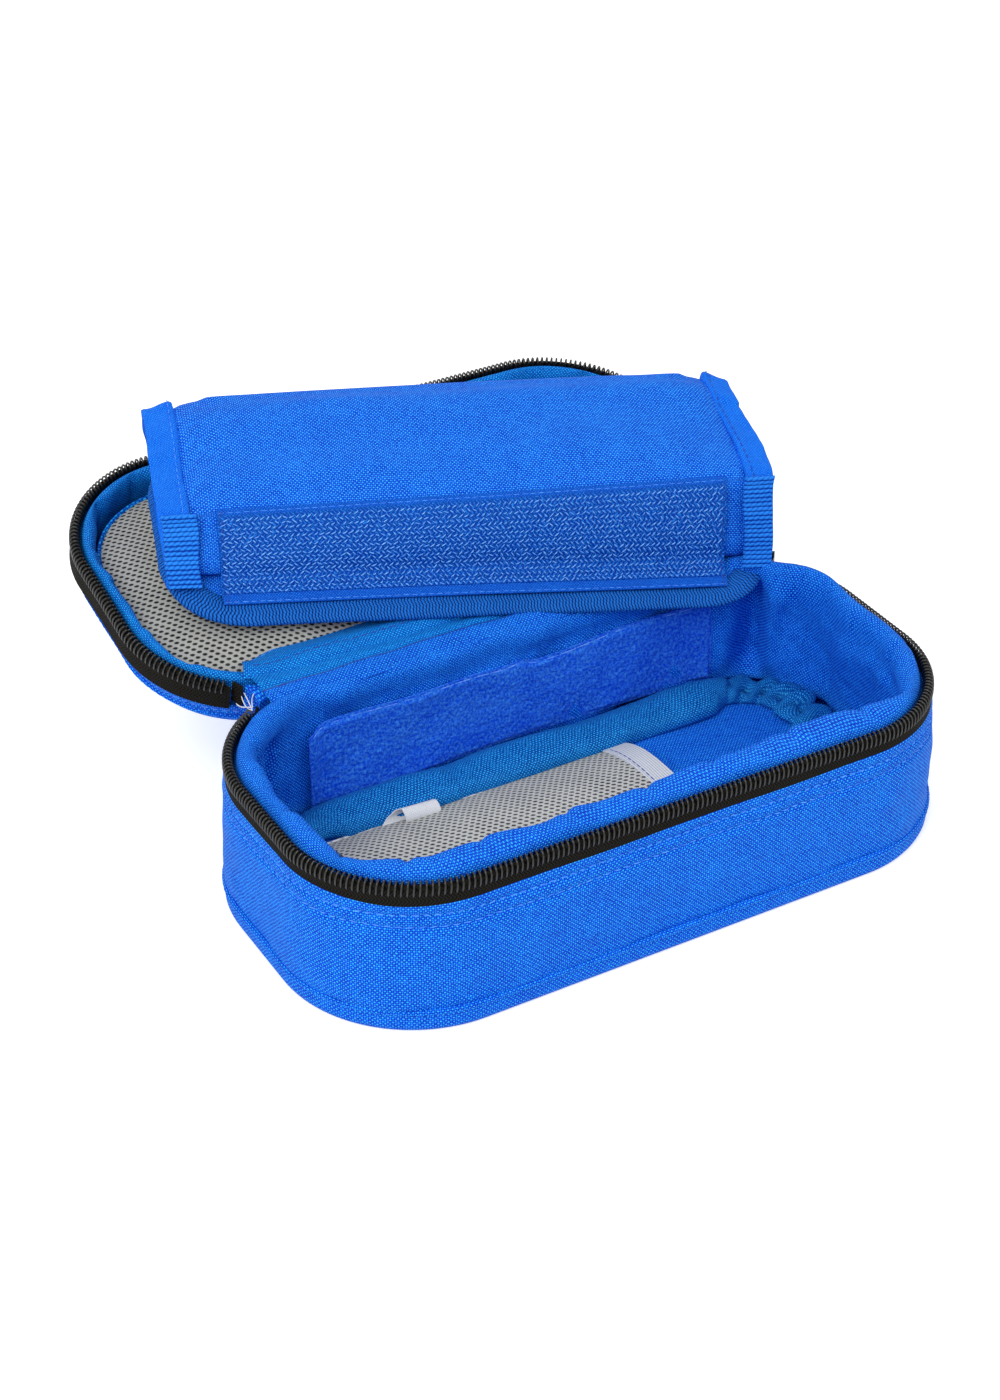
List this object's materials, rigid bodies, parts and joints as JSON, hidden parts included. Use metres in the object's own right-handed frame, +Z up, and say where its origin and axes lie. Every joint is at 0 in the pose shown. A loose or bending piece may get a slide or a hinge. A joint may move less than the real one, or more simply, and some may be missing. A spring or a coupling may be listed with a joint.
{
  "type": "insulin cooling case",
  "caption": "Soft blue zipped insulin cooling case, lying open: padded base with a mesh pen sleeve, padded lid with a mesh pocket, and a padded cold-pack pouch laid across the lid",
  "frame": {"origin": "middle of the base's underside", "axes": "+X along the length to the right as seen by the picture's viewer, +Y from the front of the base towards the hinge and the lid, +Z up from the surface that the base stands on"},
  "size_m": [0.2004, 0.2072, 0.0955],
  "materials": {
    "oxford_fabric": "woven oxford nylon with a fine basket weave",
    "lining_fabric": "smooth lining cloth over padding",
    "binding_tape": "ribbed binding tape",
    "foam": "closed-cell foam padding",
    "loop_pile": "loop side of a touch fastener",
    "hook_pile": "hook side of a touch fastener",
    "mesh": "knitted mesh",
    "elastic": "woven elastic band",
    "label": "bare satin care label",
    "zipper_tape": "woven zipper tape",
    "zipper_coil": "nylon coil teeth",
    "slider_metal": "painted zipper slider",
    "foil_film": "metallised film lining",
    "gel_pack": "sealed gel cold pack"
  },
  "bodies": {
    "base": {"base_bottom_panel": "oxford_fabric", "base_seam_piping": "oxford_fabric", "base_outer_wall": "oxford_fabric", "base_floor_foam": "foam", "base_wall_foam": "foam", "base_lining_wall": "lining_fabric", "base_lining_floor": "lining_fabric", "base_zipper_tape": "zipper_tape", "base_zipper_coil": "zipper_coil", "base_hinge_web": "oxford_fabric", "base_zip_end_left": "zipper_tape", "base_zip_end_right": "zipper_tape", "base_floor_binding": "binding_tape", "loop_strip": "loop_pile", "pen_sleeve_mesh": "mesh", "pen_sleeve_elastic": "elastic", "care_label": "label"},
    "lid": {"lid_top_panel": "oxford_fabric", "lid_seam_piping": "oxford_fabric", "lid_outer_wall": "oxford_fabric", "lid_floor_foam": "foam", "lid_wall_foam": "foam", "lid_lining_wall": "lining_fabric", "lid_lining_floor": "lining_fabric", "lid_zipper_tape": "zipper_tape", "lid_zipper_coil": "zipper_coil", "lid_hinge_web": "oxford_fabric", "lid_zip_end_left": "zipper_tape", "lid_zip_end_right": "zipper_tape", "lid_mesh_pocket": "mesh", "lid_pocket_binding": "binding_tape", "lid_hinge_band": "binding_tape"},
    "pouch": {"pouch_base_panel": "oxford_fabric", "pouch_panel_binding": "binding_tape", "pouch_cover": "oxford_fabric", "pouch_insulation": "foam", "pouch_foil_lining": "foil_film", "pouch_end_tape_left": "binding_tape", "pouch_end_panel_left": "oxford_fabric", "pouch_web_left": "binding_tape", "pouch_end_tape_right": "binding_tape", "pouch_end_panel_right": "oxford_fabric", "pouch_web_right": "binding_tape", "gel_pack": "gel_pack", "hook_strip": "hook_pile"},
    "slider": {"slider_body": "slider_metal", "slider_bail": "slider_metal"},
    "pull": {"pull_tab": "slider_metal"}
  },
  "joints": [
    {"name": "lid_hinge", "type": "hinge", "parent": "base", "child": "lid", "pos_m": [0, 0.0506, 0.0464], "axis": [1, 0, 0], "range_deg": [0, 165]},
    {"name": "pouch_flip", "type": "hinge", "parent": "base", "child": "pouch", "pos_m": [0, 0.04467, 0.04676], "axis": [0.9873, -0.1588, -0.0087], "range_deg": [0, 165.42]},
    {"name": "zip_slider", "type": "hinge", "parent": "base", "child": "slider", "pos_m": [0.0605, 0.013, 0.0464], "axis": [0, 0, -1], "range_deg": [0, 39]},
    {"name": "zip_puller", "type": "hinge", "parent": "slider", "child": "pull", "pos_m": [0.08643, 0.04476, 0.0464], "axis": [0.7746, -0.6324, 0], "range_deg": [0, 110]}
  ],
  "couplings": [
    {"joint": "pouch_flip", "follows": "lid_hinge", "ratio": 1.0025}
  ]
}
